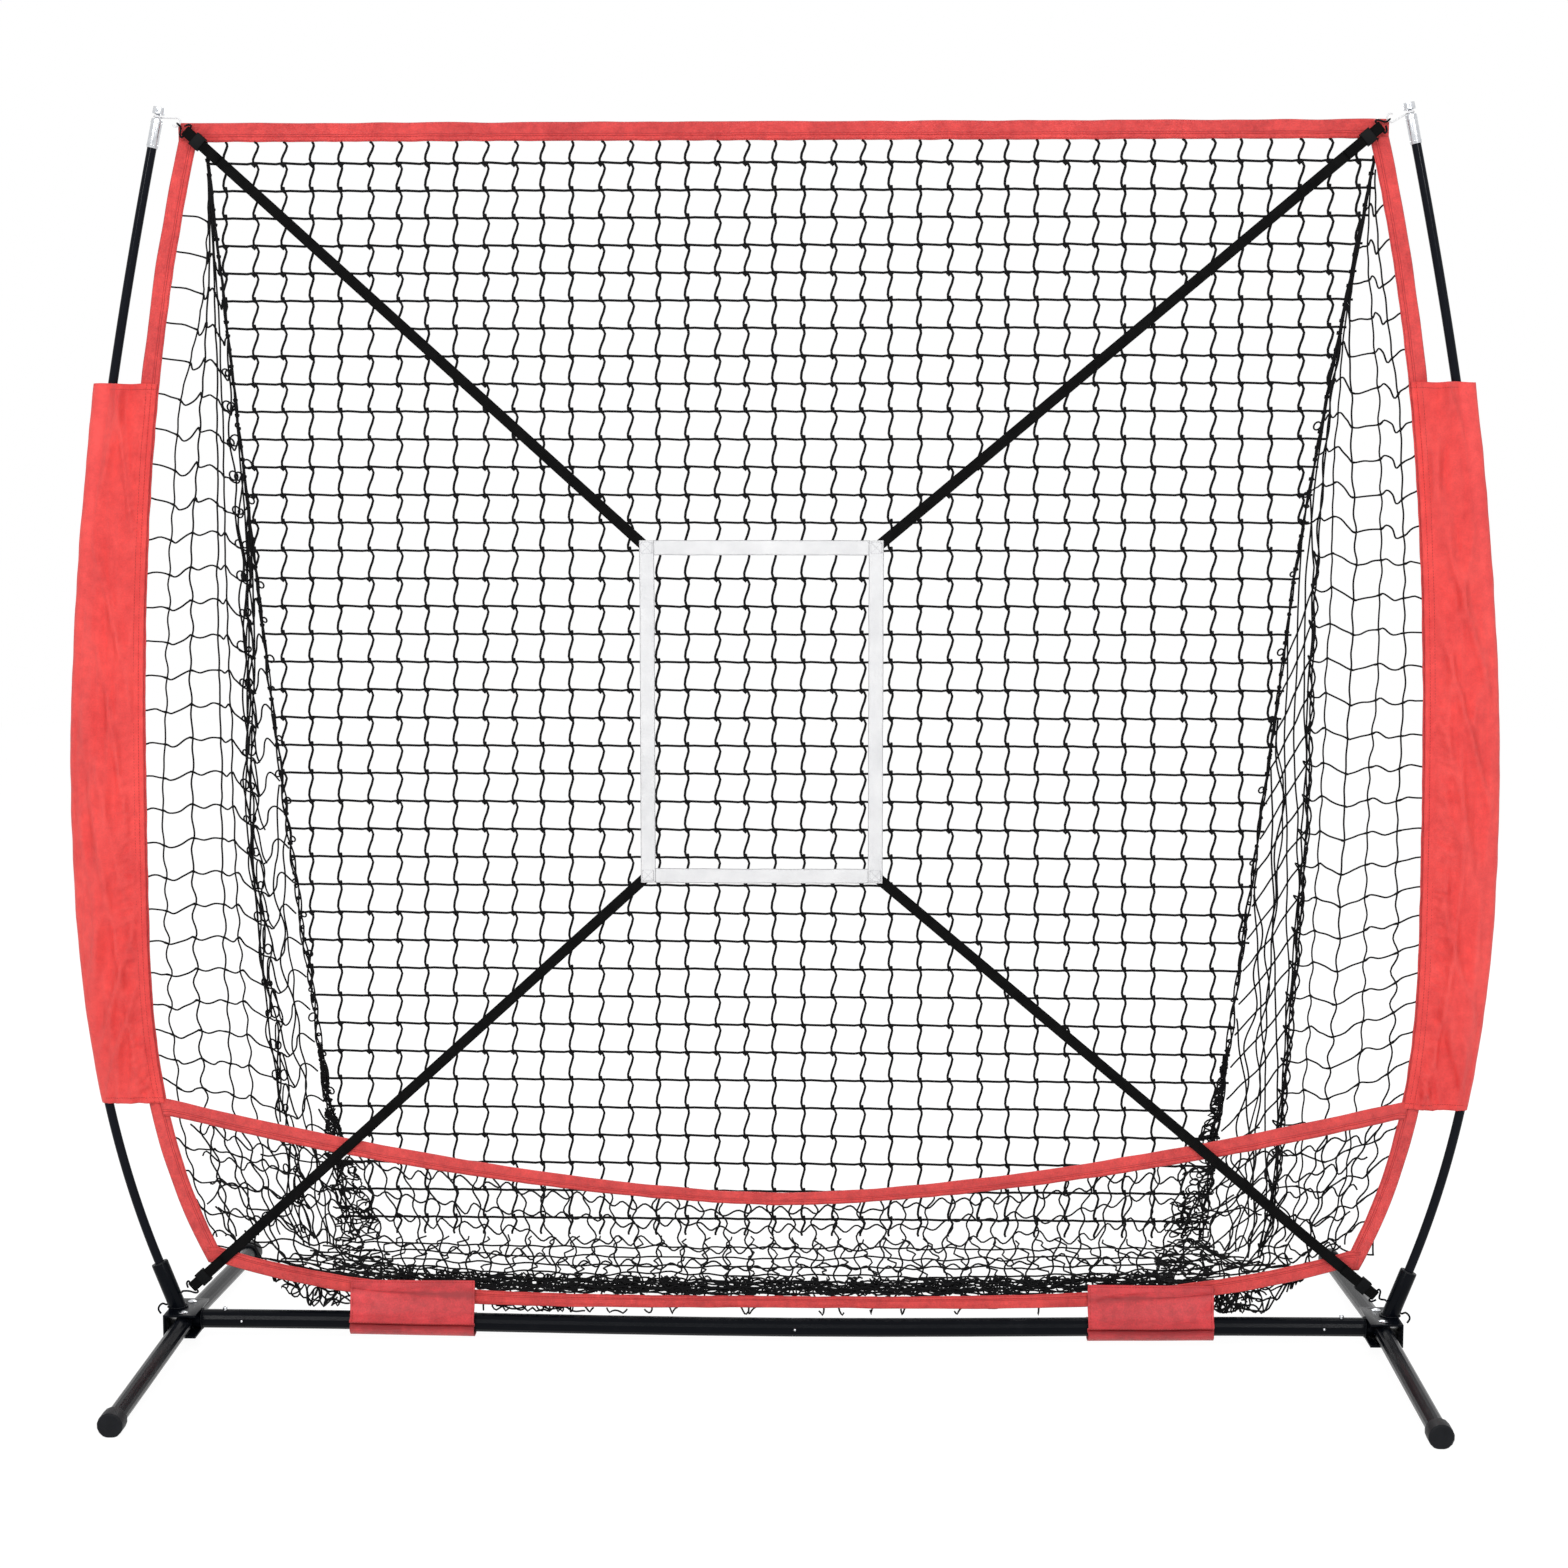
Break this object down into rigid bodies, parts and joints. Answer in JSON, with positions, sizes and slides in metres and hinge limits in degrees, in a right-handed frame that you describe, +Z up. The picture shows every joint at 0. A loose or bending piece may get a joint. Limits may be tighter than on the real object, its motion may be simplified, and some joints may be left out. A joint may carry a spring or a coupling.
{
  "type": "pitching target net",
  "caption": "Free-standing bow-framed practice net with folding legs, a ball-catching mesh bag and a hung strike zone rectangle.",
  "frame": {"origin": "on the ground, midway between the two hubs, on the centre line of the crossbar", "axes": "+X along the crossbar to the right as seen from the mouth, +Y from the mouth back to the net bag, +Z up"},
  "size_m": [2.1364, 0.9054, 1.856],
  "materials": {
    "black_paint": "semi-gloss black powder coat",
    "black_plastic": "fine satin moulding",
    "bright_steel": "bright",
    "fibreglass": "gloss black fibreglass rod",
    "red_polyester": "woven polyester",
    "black_twine": "knotted twine",
    "black_webbing": "ribbed elastic webbing",
    "white_webbing": "flat woven webbing",
    "pale_elastic": "covered elastic cord"
  },
  "bodies": {
    "frame": {"hub_bracket_left": "black_paint", "hub_bracket_right": "black_paint", "leg_pin_front_left": "bright_steel", "leg_pin_front_right": "bright_steel", "leg_pin_rear_left": "bright_steel", "leg_pin_rear_right": "bright_steel", "crossbar_stub_left": "black_paint", "crossbar_stub_right": "black_paint", "crossbar_tube_left": "black_paint", "crossbar_tube_right": "black_paint", "button_spring_left": "bright_steel", "button_spring_right": "bright_steel", "pole_socket_left": "black_paint", "pole_socket_right": "black_paint", "pole_bush_left": "black_plastic", "pole_bush_right": "black_plastic", "pole_left": "fibreglass", "pole_right": "fibreglass", "pole_tip_left": "bright_steel", "pole_tip_right": "bright_steel", "corner_cord_left": "pale_elastic", "corner_cord_right": "pale_elastic", "hook_top_left": "black_paint", "hook_top_right": "black_paint", "hook_low_left": "black_paint", "hook_low_right": "black_paint", "strap_top_left": "black_webbing", "strap_top_right": "black_webbing", "strap_low_left": "black_webbing", "strap_low_right": "black_webbing", "strike_zone_frame": "white_webbing", "top_hem": "red_polyester", "side_hem_left": "red_polyester", "side_hem_right": "red_polyester", "bottom_hem": "red_polyester", "pocket_hem": "red_polyester", "side_sleeve_left": "red_polyester", "side_sleeve_right": "red_polyester", "crossbar_flap_left": "red_polyester", "crossbar_flap_right": "red_polyester", "back_net": "black_twine", "side_net_left": "black_twine", "side_net_right": "black_twine", "floor_net": "black_twine", "pocket_net": "black_twine"},
    "front_left_leg": {"leg_front_left": "black_paint", "leg_cap_front_left": "black_plastic"},
    "front_right_leg": {"leg_front_right": "black_paint", "leg_cap_front_right": "black_plastic"},
    "rear_left_leg": {"leg_rear_left": "black_paint", "leg_cap_rear_left": "black_plastic"},
    "rear_right_leg": {"leg_rear_right": "black_paint", "leg_cap_rear_right": "black_plastic"},
    "left_button": {"snap_button_left": "bright_steel"},
    "right_button": {"snap_button_right": "bright_steel"},
    "top_left_slider": {"adjuster_top_left": "black_plastic"},
    "top_right_slider": {"adjuster_top_right": "black_plastic"},
    "low_left_slider": {"adjuster_low_left": "black_plastic"},
    "low_right_slider": {"adjuster_low_right": "black_plastic"}
  },
  "joints": [
    {"name": "fold_front_left", "type": "hinge", "parent": "frame", "child": "front_left_leg", "pos_m": [-0.908, -0.03, 0.034], "axis": [0, 0, 1], "range_deg": [0, 88]},
    {"name": "fold_front_right", "type": "hinge", "parent": "frame", "child": "front_right_leg", "pos_m": [0.908, -0.03, 0.034], "axis": [0, 0, -1], "range_deg": [0, 88]},
    {"name": "fold_rear_left", "type": "hinge", "parent": "frame", "child": "rear_left_leg", "pos_m": [-0.908, 0.03, 0.034], "axis": [0, 0, -1], "range_deg": [0, 88]},
    {"name": "fold_rear_right", "type": "hinge", "parent": "frame", "child": "rear_right_leg", "pos_m": [0.908, 0.03, 0.034], "axis": [0, 0, 1], "range_deg": [0, 88]},
    {"name": "press_button_left", "type": "slide", "parent": "frame", "child": "left_button", "axis": [0, 0, -1], "range_m": [0, 0.0065], "stiffness_N_per_m": 1200, "springref_m": -0.0008, "deforming": ["button_spring_left"]},
    {"name": "press_button_right", "type": "slide", "parent": "frame", "child": "right_button", "axis": [0, 0, -1], "range_m": [0, 0.0065], "stiffness_N_per_m": 1200, "springref_m": -0.0008, "deforming": ["button_spring_right"]},
    {"name": "slide_top_left", "type": "slide", "parent": "frame", "child": "top_left_slider", "axis": [0.7421, 0, -0.6703], "range_m": [-0.01, 0.03]},
    {"name": "slide_top_right", "type": "slide", "parent": "frame", "child": "top_right_slider", "axis": [-0.7675, 0, -0.6411], "range_m": [-0.01, 0.03]},
    {"name": "slide_low_left", "type": "slide", "parent": "frame", "child": "low_left_slider", "axis": [0.7402, 0, 0.6724], "range_m": [-0.01, 0.03]},
    {"name": "slide_low_right", "type": "slide", "parent": "frame", "child": "low_right_slider", "axis": [-0.7653, 0, 0.6437], "range_m": [-0.01, 0.03]}
  ]
}
